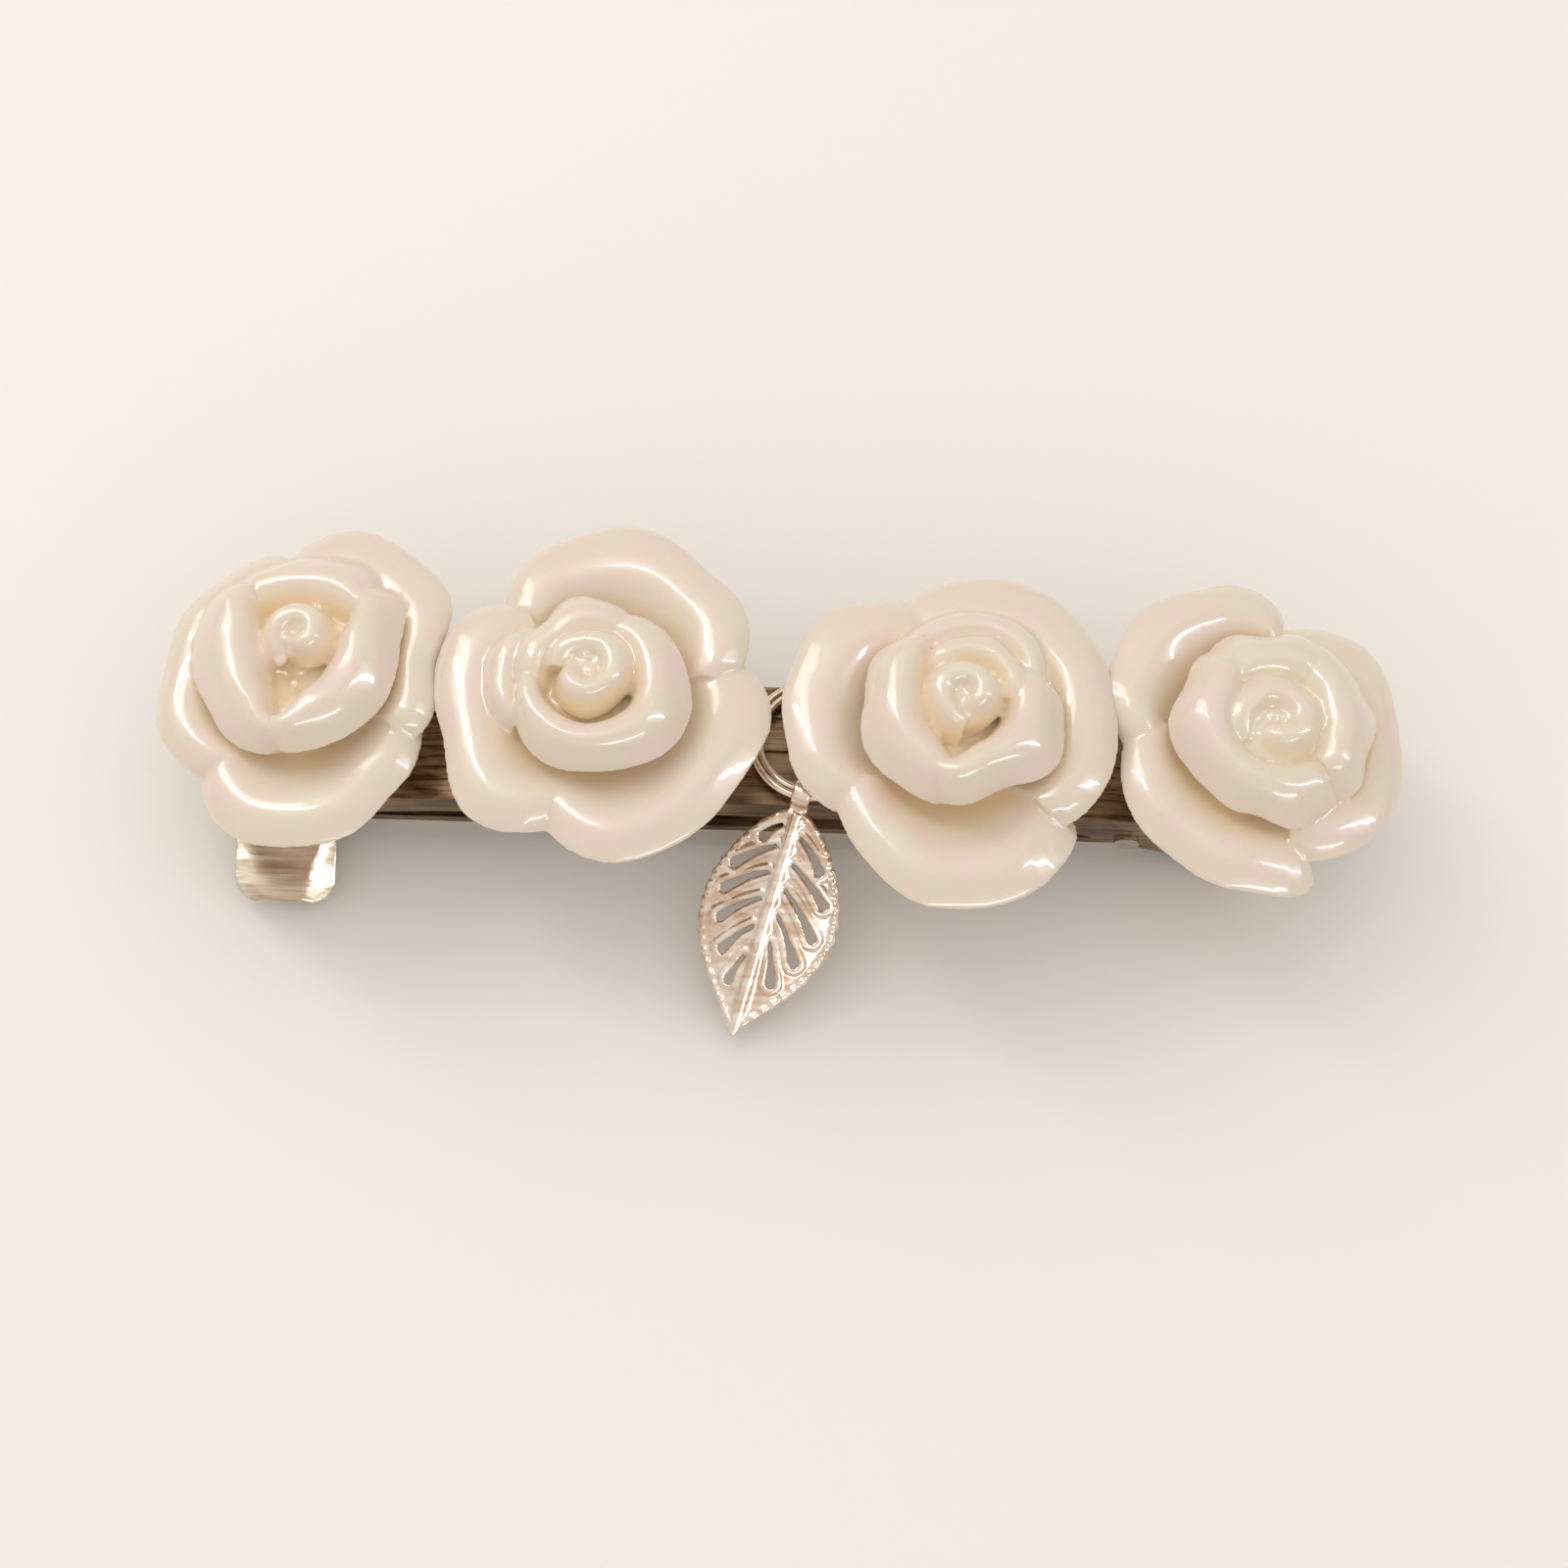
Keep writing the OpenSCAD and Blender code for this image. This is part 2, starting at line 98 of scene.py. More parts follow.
def settle(obj):
    # applies the object's modifiers to its mesh
    bpy.context.view_layer.update()
    graph = bpy.context.evaluated_depsgraph_get()
    mesh = bpy.data.meshes.new_from_object(obj.evaluated_get(graph), depsgraph=graph)
    old = obj.data
    obj.modifiers.clear()
    obj.data = mesh
    mesh.name = obj.name
    bpy.data.meshes.remove(old)


def thicken(obj, sheet):
    # gives a surface its thickness, half on each side
    wall = obj.modifiers.new("wall", "SOLIDIFY")
    wall.thickness = sheet * mm
    wall.offset = 0.0
    settle(obj)


def castAsOne(obj, voxel, rounds):
    # melts overlapping shells into one closed body and rounds its edges off
    remesh = obj.modifiers.new("oneBody", "REMESH")
    remesh.mode = "VOXEL"
    remesh.voxel_size = voxel * mm
    remesh.use_smooth_shade = True
    soften = obj.modifiers.new("softening", "SMOOTH")
    soften.factor = 0.5
    soften.iterations = rounds
    settle(obj)


# colours, with a lighter, warmer cream painted into the hollows as light bounced into their shade; sizes of the blush,
# of the ripples and of the reach of that painted light, and the ripples' depth, in mm
pearlGlaze = {"body": "e5d8c8", "paintedHollowLight": "fbe9cc", "blushPink": "e8d6cd", "coolGreen": "e3dbc9",
              "blushSize": 4.0, "mottleSize": 1.4, "paintedLightReach": 3.5, "rippleDepth": 0.2}


def glazedPorcelain():
    # ivory porcelain under a pearl lustre glaze: soft cream, a lighter warmer cream painted into the hollows as bounce
    # light, wet highlights
    material, shader = newMaterial("pearlGlazedCeramic", {
        "Roughness": 0.28, "IOR": 1.5, "Coat Weight": 0.6, "Coat Roughness": 0.05, "Coat IOR": 1.6,
        "Subsurface Weight": 0.35, "Subsurface Scale": 0.0015, "Subsurface Radius": (1.0, 0.6, 0.35)})
    place = addNode(material, "ShaderNodeTexCoord")
    blush = addNode(material, "ShaderNodeTexNoise",
                    {"Scale": 1000 / pearlGlaze["blushSize"], "Detail": 2.0, "Roughness": 0.5},
                    {"Vector": place.outputs["Object"]})
    tint = addNode(material, "ShaderNodeValToRGB", {}, {"Fac": blush.outputs["Fac"]})
    setRamp(tint, [(0.34, srgb(pearlGlaze["blushPink"])), (0.5, srgb(pearlGlaze["body"])),
                   (0.66, srgb(pearlGlaze["coolGreen"]))])
    # painted light: deep in the folds, where ambient occlusion finds them, the colour turns a lighter, warmer cream
    # that stands in for light bounced into their shade
    occlusion = addNode(material, "ShaderNodeAmbientOcclusion",
                        {"samples": 8, "Distance": pearlGlaze["paintedLightReach"] * mm, "only_local": True})
    depth = addNode(material, "ShaderNodeMapRange", {"From Min": 0.2, "From Max": 0.85, "To Min": 1.0, "To Max": 0.0},
                    {"Value": occlusion.outputs["AO"]})
    colour = addNode(material, "ShaderNodeMix", {"data_type": "RGBA"})
    # a mix node's sockets by place: 0 factor, 6 and 7 the two colours, and output 2 the mixed colour
    joinTo(material, depth.outputs["Result"], colour, 0)
    joinTo(material, tint.outputs["Color"], colour, 6)
    colour.inputs[7].default_value = srgb(pearlGlaze["paintedHollowLight"])
    joinTo(material, colour.outputs[2], shader, "Base Color")
    mottle = addNode(material, "ShaderNodeTexNoise",
                     {"Scale": 1000 / pearlGlaze["mottleSize"], "Detail": 1.0},
                     {"Vector": place.outputs["Object"]})
    ripple = addNode(material, "ShaderNodeBump", {"Strength": 0.12, "Distance": pearlGlaze["rippleDepth"] * mm},
                     {"Height": mottle.outputs["Fac"]})
    joinTo(material, ripple.outputs["Normal"], shader, "Normal")
    return material


def platedMetal(name, light, dark, roughness, streak, patch, paintedPiercingShade=None):
    # plated metal: drawn lines along the strip, and slow changes of tone in the plating;
    # streak and patch are their sizes in mm, with the lines coarser than real ones so that they show
    material, shader = newMaterial(name, {"Metallic": 1.0, "Roughness": roughness})
    place = addNode(material, "ShaderNodeTexCoord")
    along = addNode(material, "ShaderNodeMapping", {"Scale": (0.06, 1.0, 1.0)}, {"Vector": place.outputs["Object"]})
    lines = addNode(material, "ShaderNodeTexNoise", {"Scale": 1000 / streak, "Detail": 3.0},
                    {"Vector": along.outputs["Vector"]})
    cloud = addNode(material, "ShaderNodeTexNoise", {"Scale": 1000 / patch, "Detail": 2.0},
                    {"Vector": place.outputs["Object"]})
    both = addNode(material, "ShaderNodeMath", {"operation": "ADD"},
                   {0: lines.outputs["Fac"], 1: cloud.outputs["Fac"]})
    tone = addNode(material, "ShaderNodeMapRange", {"From Min": 0.75, "From Max": 1.25},
                   {"Value": both.outputs["Value"]})
    colour = addNode(material, "ShaderNodeValToRGB", {}, {"Fac": tone.outputs["Result"]})
    setRamp(colour, [(0.0, srgb(dark)), (1.0, srgb(light))])
    skin = colour.outputs["Color"]
    if paintedPiercingShade:  # painted shade: the walls of the piercings, found by ambient occlusion, are darkened to stand in for their shadow
        recess = addNode(material, "ShaderNodeAmbientOcclusion",
                         {"samples": 8, "Distance": 0.0006, "only_local": True})
        piercingShadeMask = addNode(material, "ShaderNodeMapRange",
                       {"From Min": 0.4, "From Max": 0.8, "To Min": 1.0, "To Max": 0.0},
                       {"Value": recess.outputs["AO"]})
        coat = addNode(material, "ShaderNodeMix", {"data_type": "RGBA"})
        joinTo(material, piercingShadeMask.outputs["Result"], coat, 0)
        joinTo(material, skin, coat, 6)
        coat.inputs[7].default_value = srgb(paintedPiercingShade)
        skin = coat.outputs[2]
    joinTo(material, skin, shader, "Base Color")
    spread = addNode(material, "ShaderNodeMapRange",
                     {"From Min": 0.3, "From Max": 0.7, "To Min": roughness * 0.75, "To Max": roughness * 1.4},
                     {"Value": lines.outputs["Fac"]})
    joinTo(material, spread.outputs["Result"], shader, "Roughness")
    relief = addNode(material, "ShaderNodeBump", {"Strength": 0.1, "Distance": 0.00005},
                     {"Height": lines.outputs["Fac"]})
    joinTo(material, relief.outputs["Normal"], shader, "Normal")
    return material


def setGlue():
    # clear craft glue set to a milky, slightly lumpy bead
    material, shader = newMaterial("setClearGlue", {
        "Base Color": srgb("d8cbb2"), "Roughness": 0.3, "IOR": 1.48, "Subsurface Weight": 0.3,
        "Subsurface Scale": 0.0008})
    place = addNode(material, "ShaderNodeTexCoord")
    lumps = addNode(material, "ShaderNodeTexNoise", {"Scale": 900.0}, {"Vector": place.outputs["Object"]})
    bump = addNode(material, "ShaderNodeBump", {"Strength": 0.3, "Distance": 0.0002}, {"Height": lumps.outputs["Fac"]})
    joinTo(material, bump.outputs["Normal"], shader, "Normal")
    return material


glaze = glazedPorcelain()
# the bar, arm and bow: rolled steel strip whose grey is painted dark and brown, as painted shade from the roses above
# and a painted reflection of warm surroundings, softly streaked
shadedBarPlate = platedMetal("barSteelPaintedShade", "b59c80", "5c4632", 0.3, 0.35, 6.0)
# the clasp: pressed spring steel under satin nickel, pale with a soft shine
lightPlate = platedMetal("satinNickelPlatedSteel", "e6dccb", "b9a68c", 0.22, 0.3, 4.0)
# the pins: drawn bright steel, grey
pinSteel = platedMetal("brightSteelWire", "d8d2c8", "9d958a", 0.22, 0.2, 2.0)
# the charm and its ring: cast alloy under thin pale plating, near white and polished, its warm tint a painted
# reflection of warm surroundings, with painted shade in the piercings
charmPlate = platedMetal("paleCharmPaintedWarmReflection", "f6ebdf", "d6b79c", 0.16, 0.5, 3.0, paintedPiercingShade="3a241c")
glue = setGlue()
print("materials made")


# as the frame has them: place along the bar, offset across it, middle and radius of the cup,
# and the bud's middle, radius and top
arch = {"radius": 300.0, "top": 10.0, "glue": 0.7}
roses = [
    {"along": -33.6, "offset": 1.9, "cup": (-0.2, 1.2), "wall": 5.2, "bud": (0.0, 2.5, 1.6, 8.9)},
    {"along": -12.6, "offset": 1.1, "cup": (0.0, 0.0), "wall": 4.7, "bud": (-0.6, 0.4, 2.0, 9.2)},
    {"along": 12.3, "offset": -1.5, "cup": (0.8, 1.0), "wall": 5.1, "bud": (0.8, 1.9, 2.1, 9.75)},
    {"along": 33.8, "offset": 0.2, "cup": (0.9, 0.0), "wall": 5.2, "bud": (1.0, -0.2, 3.0, 8.95)},
]
# petal: middle angle, half angle, reaches at five even steps across it, crest height
outerPetals = [
    [(39, 65, (9.5, 9.5, 11.9, 12.6, 11.0), 5.75), (165, 66, (10.6, 10.7, 10.0, 10.9, 10.2), 6.0),
     (284, 60, (10.6, 12.6, 11.6, 10.3, 9.3), 5.2)],
    [(76, 64, (10.8, 12.4, 13.0, 12.6, 10.4), 5.6), (-46, 66, (11.0, 12.5, 12.2, 12.0, 11.2), 5.4),
     (193, 60, (10.6, 11.7, 11.5, 12.5, 11.4), 6.0)],
    [(37, 73, (10.8, 11.5, 12.9, 12.9, 12.2), 6.0), (160, 54, (12.0, 12.7, 12.4, 11.7, 9.8), 5.7),
     (-92, 60, (9.6, 10.8, 12.3, 12.6, 11.4), 5.3)],
    [(133, 54, (10.6, 12.0, 11.9, 11.4, 9.9), 5.9), (5, 75, (10.0, 10.8, 10.6, 10.6, 9.6), 5.7),
     (235, 58, (9.5, 10.3, 10.8, 11.6, 12.0), 5.3)],
]
# and for the cup's petals, inner radii at the same steps and each petal's own middle
cupPetals = [
    [(193, 66, (7.8, 7.5, 7.4, 6.9, 7.2), 9.0, (5.2, 2.8, 2.0, 2.9, 5.4), (-0.2, 1.2)),
     (-28, 74, (7.3, 6.6, 6.9, 7.2, 8.2), 9.2, (5.4, 2.9, 2.6, 2.9, 5.4), (-0.2, 1.2)),
     (85, 52, (7.4, 7.9, 8.0, 7.9, 7.6), 8.2, (5.2, 4.6, 4.4, 4.6, 5.2), (-0.2, 1.2)),
     (60, 158, (1.6, 1.9, 2.2, 2.4, 2.6), 9.2, (0.4, 0.6, 0.8, 1.0, 1.2), (0.0, 2.5))],
    [(-50, 128, (5.6, 6.4, 6.5, 6.1, 6.2), 9.0, (4.6, 3.8, 3.2, 2.8, 3.4), (0.0, 0.0)),
     (128, 56, (6.4, 6.8, 6.0, 6.5, 6.0), 8.6, (3.4, 3.4, 3.6, 3.8, 4.0), (0.0, 0.0)),
     (172, 32, (7.0, 8.1, 8.2, 8.0, 7.2), 7.4, (6.0, 6.0, 6.0, 6.0, 6.0), (0.0, 0.0)),
     (0, 165, (2.1, 2.5, 2.8, 3.0, 3.2), 9.5, (0.9, 1.1, 1.3, 1.6, 2.0), (-0.6, 0.4))],
    [(195, 68, (6.4, 7.0, 7.1, 7.3, 7.4), 9.0, (4.8, 3.4, 3.1, 3.3, 4.6), (0.8, 1.9)),
     (-37, 68, (7.3, 6.6, 7.2, 6.8, 5.8), 9.2, (5.0, 3.5, 3.0, 3.0, 3.6), (0.8, 1.9)),
     (78, 62, (6.2, 7.0, 7.2, 7.0, 6.6), 8.2, (4.6, 5.2, 5.3, 5.0, 4.8), (0.8, 1.9)),
     (70, 64, (4.2, 4.8, 5.0, 4.9, 4.6), 8.9, (3.0, 3.1, 3.1, 3.1, 3.0), (0.8, 1.9)),
     (100, 162, (1.7, 2.1, 2.4, 2.6, 2.7), 9.9, (0.4, 0.6, 0.9, 1.2, 1.5), (0.8, 1.9))],
    [(190, 64, (7.2, 6.9, 6.8, 6.4, 6.2), 8.9, (3.6, 3.0, 2.8, 3.0, 3.4), (0.9, 0.0)),
     (14, 56, (7.2, 6.9, 6.8, 7.2, 8.0), 9.2, (3.6, 3.2, 3.0, 3.2, 3.6), (0.9, 0.0)),
     (270, 48, (6.2, 6.3, 6.6, 6.9, 7.0), 8.6, (3.2, 3.2, 3.2, 3.2, 3.4), (0.9, 0.0)),
     (100, 46, (7.2, 7.2, 7.0, 7.0, 6.8), 8.8, (3.4, 3.4, 3.4, 3.4, 3.4), (0.9, 0.0)),
     (40, 165, (2.2, 2.8, 3.3, 3.9, 4.3), 9.3, (0.4, 0.6, 0.9, 1.4, 1.9), (1.0, -0.2))],
]
# waves and tuck of the rim, sheet and voxel in mm; across is the degrees between columns of a petal, up its rows
petalLook = {"wave": 0.24, "tuck": 0.55, "sheet": 1.25, "calyx": 3.4, "voxel": 0.16, "soften": 6,
             "across": 2.5, "up": 26}
# half outline of the solid foot, as distance out and height
roseFoot = [(0.0, 0.0), (4.0, 0.0), (4.3, 0.5), (4.3, 1.2), (3.6, 2.1), (0.0, 2.1)]
# how many beads on each rose, how far out they lie, and their least and greatest radius
glazeBeads = {"count": (70, 16, 3, 7), "spread": (3.9, 1.8, 1.4, 1.8), "size": (0.22, 0.46)}


def alongSteps(values, t):
    # smooth value at t from -1 to 1 through five even steps
    x = (t + 1) * 2
    i = min(3, int(x))
    w = x - i
    return values[i] + (values[i + 1] - values[i]) * w * w * (3 - 2 * w)


def bend(a, b, c, d, v):
    # a cubic curve's value at v from 0 to 1
    return (1 - v) ** 3 * a + 3 * v * (1 - v) ** 2 * b + 3 * v * v * (1 - v) * c + v ** 3 * d


def petalPoint(petal, cup, order, u, v):
    # u runs from -1 to 1 across the petal and v from 0 at its foot to 1 at its rim
    reach = alongSteps(petal[2], u) * (1 - 0.03 * u ** 4 - 0.09 * u ** 12)
    crest = petal[3] * (1 - 0.06 * u ** 4) - 0.3 * u
    foot = alongSteps(petal[4], u) if cup else petalLook["calyx"] - 0.13 * order
    out = reach - foot
    low = 0.17 * order
    if cup:
        r = bend(foot - 0.25, foot, foot + 0.58 * out, reach, v)
        h = bend(2.2 + low, 1.2 * crest, 1.12 * crest, crest - 2.4, v)
    else:
        r = bend(foot, foot + 0.42 * out, foot + 0.63 * out, reach, v)
        h = bend(1.2 + low, 3.4 + low, 1.33 * crest, crest - 1.1, v)
    # the rim is pinched into shallow waves, and the ends of a petal tuck down on to the next one
    wave = math.sin(5.5 * u + petal[0]) + 0.6 * math.sin(9.0 * u + 2 * petal[0])
    r += petalLook["wave"] * wave * v ** 3
    h += 0.5 * petalLook["wave"] * math.cos(7.0 * u + petal[0]) * v ** 2 - petalLook["tuck"] * u ** 10 * v
    angle = math.radians(petal[0] + u * petal[1])
    middle = petal[5] if cup else (0.0, 0.0)
    return Vector((middle[0] + r * math.cos(angle), middle[1] + r * math.sin(angle), h)) * mm


def onArch(along):
    # the frame's own placing of a piece on the arched bar
    radius = arch["radius"] * mm
    lift = (arch["top"] - arch["radius"]) * mm
    turn = math.asin(along / arch["radius"])
    return Matrix.Translation((0, 0, lift)) @ Matrix.Rotation(turn, 4, "Y") @ Matrix.Translation((0, 0, radius))


def spinOutline(bm, outline, middle):
    # turns a half outline about the upright axis, and moves the solid to its middle
    line = [bm.verts.new(Vector((r, 0, z)) * mm) for r, z in outline]
    edges = [bm.edges.new(pair) for pair in zip(line, line[1:])]
    spun = bmesh.ops.spin(bm, geom=line + edges, axis=(0, 0, 1), cent=(0, 0, 0), angle=math.tau, steps=48,
                          use_merge=True, use_duplicate=False)
    # the spin gives back only its last row, so the rest of the solid is found through its edges
    verts = set(line)
    for item in spun["geom_last"]:
        if isinstance(item, bmesh.types.BMVert):
            verts.add(item)
    linked = set()
    stack = list(verts)
    while stack:
        vert = stack.pop()
        if vert.is_valid and vert not in linked:
            linked.add(vert)
            stack += [edge.other_vert(vert) for edge in vert.link_edges]
    bmesh.ops.translate(bm, verts=list(linked), vec=Vector((middle[0], middle[1], 0)) * mm)
    bmesh.ops.remove_doubles(bm, verts=list(linked), dist=1e-6)


def buildRose(number):
    rose = roses[number]
    bm = bmesh.new()
    layers = [(p, False, j) for j, p in enumerate(outerPetals[number])]
    layers += [(p, True, j) for j, p in enumerate(cupPetals[number])]
    for petal, cup, order in layers:
        steps = max(10, round(petal[1] * 2 / petalLook["across"] / 2))
        grid = bmesh.ops.create_grid(bm, x_segments=steps, y_segments=petalLook["up"], size=1.0)
        for vert in grid["verts"]:
            u, v = vert.co.x, (vert.co.y + 1) / 2
            vert.co = petalPoint(petal, cup, order, u, v)
    name = "rose_%d" % (number + 1)
    obj = newObject(name, bm, glaze)
    thicken(obj, petalLook["sheet"])
    # the solid foot, the plug that fills the cup, and the domed bud
    bm = bmesh.new()
    bm.from_mesh(obj.data)
    wall = rose["wall"]
    plug = [(0.0, 1.0), (2.6, 1.0), (wall - 0.9, 2.2), (wall - 0.2, 4.0), (wall, 6.0), (wall - 0.7, 6.7),
            (wall - 1.9, 6.8), (1.2, 6.3), (0.0, 6.2)]
    budX, budY, budR, budTop = rose["bud"]
    dome = [(0.0, 5.5), (budR, 5.5), (budR, budTop - 1.2), (0.86 * budR, budTop - 0.6), (0.6 * budR, budTop - 0.2),
            (0.3 * budR, budTop - 0.03), (0.0, budTop)]
    spinOutline(bm, roseFoot, (0.0, 0.0))
    spinOutline(bm, plug, rose["cup"])
    spinOutline(bm, dome, (budX, budY))
    # beads of glaze gathered on the bud and in the cup
    beads = random.Random(11 + number)
    for _ in range(glazeBeads["count"][number]):
        around, out = beads.uniform(0, math.tau), beads.uniform(0.1, 1.0) * glazeBeads["spread"][number]
        size = beads.uniform(*glazeBeads["size"])
        height = budTop - 0.1 - 1.1 * max(0.0, out / budR - 0.6)
        made = bmesh.ops.create_icosphere(bm, subdivisions=2, radius=size * mm)
        bmesh.ops.translate(bm, verts=made["verts"], vec=Vector(
            (budX + out * math.cos(around), budY + out * math.sin(around) - 0.45 * max(0.0, out - budR), height)) * mm)
    bmesh.ops.transform(bm, matrix=onArch(rose["along"]) @ Matrix.Translation(
        Vector((0, rose["offset"], arch["glue"])) * mm), verts=bm.verts)
    bm.to_mesh(obj.data)
    bm.free()
    castAsOne(obj, petalLook["voxel"], petalLook["soften"])
    obj.data.materials.clear()
    obj.data.materials.append(glaze)
    for face in obj.data.polygons:
        face.use_smooth = True
    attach(obj, "clip")
    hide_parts(name + "_core", name + "_inner_petals", name + "_outer_petals")
    print(name, len(obj.data.polygons), "faces")


for roseNumber in range(len(roses)):
    buildRose(roseNumber)


# the ring's middle and radius, how the leaf hangs from it in degrees, and the blade in mm;
# a ridge is its height, its width, and its distance in from the edge that it follows
charm = {"ring": (2.6, 0.0, 11.2), "ringRadius": 4.2, "hangAt": -8.0, "turn": -17.0, "slope": 32.0, "length": 18.8,
         "halfWidth": 5.0, "start": 1.4, "dome": 10.5, "sheet": 0.42, "cell": 0.11, "voxel": 0.085, "soften": 3,
         "slotRidge": (0.16, 0.16, 0.16), "rimRidge": (0.2, 0.2, 0.22), "midrib": (0.34, 0.42),
         "bail": (0.72, 1.0, 0.7),  # radius of its bore, outer radius and half width
         # slots between the veins: side, distance from the bail at the midrib and at the rim, reach across
         "slots": [(-1, 2.6, 3.9, 1.9), (-1, 4.2, 6.5, 3.4), (-1, 6.2, 8.5, 3.6), (-1, 8.2, 10.6, 3.3),
                   (-1, 10.4, 12.8, 2.5), (-1, 12.7, 14.8, 1.4), (1, 3.2, 5.2, 2.7), (1, 5.2, 7.6, 3.6),
                   (1, 7.2, 10.2, 3.5), (1, 9.2, 12.3, 2.8), (1, 11.3, 14.2, 1.6)]}


def bladeHalf(s):
    # half the blade's width at s from the bail, fullest near its middle and drawn out to a tip
    t = max(0.0, min(1.0, (s - charm["start"]) / (charm["length"] - charm["start"])))
    return charm["halfWidth"] * math.sin(math.pi * t ** 0.936) ** (0.6 + 0.62 * t)


def toSlot(w, s):
    # distance from a point of the blade to the edge of the nearest slot, negative inside it
    best = 9.0
    for side, s0, s1, reach in charm["slots"]:
        a, b = Vector((side * 0.75, s0)), Vector((side * reach, s1))
        way = b - a
        t = max(0.0, min(1.0, (Vector((w, s)) - a).dot(way) / way.length_squared))
        # a slot is a slim drop with a slight hook, widest towards the rim
        bow = 0.22 * math.sin(math.pi * t)
        closest = a + way * t + Vector((0.0, -bow))
        best = min(best, (Vector((w, s)) - closest).length - (0.2 + 0.24 * t))
    return best


def buildLeaf():
    bm = bmesh.new()
    long = charm["length"] - charm["start"]
    grid = bmesh.ops.create_grid(bm, x_segments=round(2 * charm["halfWidth"] / charm["cell"]),
                                 y_segments=round(long / charm["cell"]), size=1.0)
    for vert in grid["verts"]:
        s = charm["start"] + long * (0.004 + 0.992 * (vert.co.y + 1) / 2)
        half = bladeHalf(s)
        # small scallops along the rim
        w = vert.co.x * (half + 0.07 * math.sin(5.2 * s) * min(1.0, half))
        vert.co = Vector((w, -s, 0.0))
    holes = [face for face in bm.faces if toSlot(face.calc_center_median().x, -face.calc_center_median().y) < 0]
    bmesh.ops.delete(bm, geom=holes, context="FACES")
    slotHigh, slotWide, slotIn = charm["slotRidge"]
    rimHigh, rimWide, rimIn = charm["rimRidge"]
    ribHigh, ribWide = charm["midrib"]
    for vert in bm.verts:
        w, s = vert.co.x, -vert.co.y
        gap, edge = toSlot(w, s), bladeHalf(s) - abs(w)
        relief = slotHigh * math.exp(-((gap - slotIn) / slotWide) ** 2)
        relief = max(relief, rimHigh * math.exp(-((edge - rimIn) / rimWide) ** 2) * (1.0 + 0.3 * math.sin(9 * s)))
        relief = max(relief, ribHigh * math.exp(-(w / ribWide) ** 2))
        vert.co.z = math.sqrt(charm["dome"] ** 2 - w * w) - charm["dome"] + relief
    bmesh.ops.scale(bm, vec=(mm, mm, mm), verts=bm.verts)
    leaf = newObject("leafCharmPierced", bm, charmPlate)
    thicken(leaf, charm["sheet"])
    bm = bmesh.new()
    bm.from_mesh(leaf.data)
    # the bail that the ring passes through, and the neck from it to the blade
    bore, outer, half = charm["bail"]
    corners = [(-half, bore), (half, bore), (half, outer - 0.1), (half - 0.12, outer), (0.0, outer + 0.04),
               (0.12 - half, outer), (-half, outer - 0.1)]
    section = [bm.verts.new(Vector((x, 0, r)) * mm) for x, r in corners]
    face = bm.faces.new(section)
    bmesh.ops.spin(bm, geom=[face] + list(face.edges) + section, axis=(1, 0, 0), cent=(0, 0, 0), angle=math.tau,
                   steps=40, use_merge=True)
    # the section faces left inside the spun bail
    bmesh.ops.delete(bm, geom=[f for f in bm.faces if len(f.verts) == len(corners)], context="FACES_ONLY")
    neck = bmesh.ops.create_cube(bm, size=1.0)
    bmesh.ops.scale(bm, vec=Vector((1.3, 1.5, 0.5)) * mm, verts=neck["verts"])
    bmesh.ops.translate(bm, vec=Vector((0, -1.55, 0.05)) * mm, verts=neck["verts"])
    bmesh.ops.remove_doubles(bm, verts=bm.verts, dist=1e-6)
    hang, turn = math.radians(charm["hangAt"]), math.radians(charm["turn"])
    place = Vector(charm["ring"]) + charm["ringRadius"] * Vector((math.sin(hang), -math.cos(hang), 0))
    bmesh.ops.transform(bm, verts=bm.verts, matrix=Matrix.Translation(place * mm) @ Matrix.Rotation(turn, 4, "Z")
                        @ Matrix.Rotation(math.radians(charm["slope"]), 4, "X"))
    bm.to_mesh(leaf.data)
    bm.free()
    castAsOne(leaf, charm["voxel"], charm["soften"])
    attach(leaf, "leaf")
    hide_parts("leaf_charm")
    print("leaf", len(leaf.data.polygons), "faces")


buildLeaf()

clasp = {"middle": -36.0, "width": 7.3, "sheet": 0.46, "corner": 2.0, "reach": 10.3, "columns": 28,
         "voxel": 0.1, "soften": 3,
         "tab": (1.1, 1.6, 1.2, 0.4, 3.2),  # from and to across, half width, from and to in height
         # the middle of the sheet from the top of the leg to the tip of the wing, across and up
         "path": [(1.35, 5.93), (1.35, 4.6), (1.36, 3.7), (1.45, 3.3), (1.7, 3.06), (2.3, 2.95), (3.2, 2.9),
                  (4.8, 2.8), (6.0, 2.7), (7.2, 2.52), (8.0, 2.36), (8.7, 2.22), (9.3, 2.08), (9.8, 1.97),
                  (10.1, 1.9), (10.28, 1.86)]}


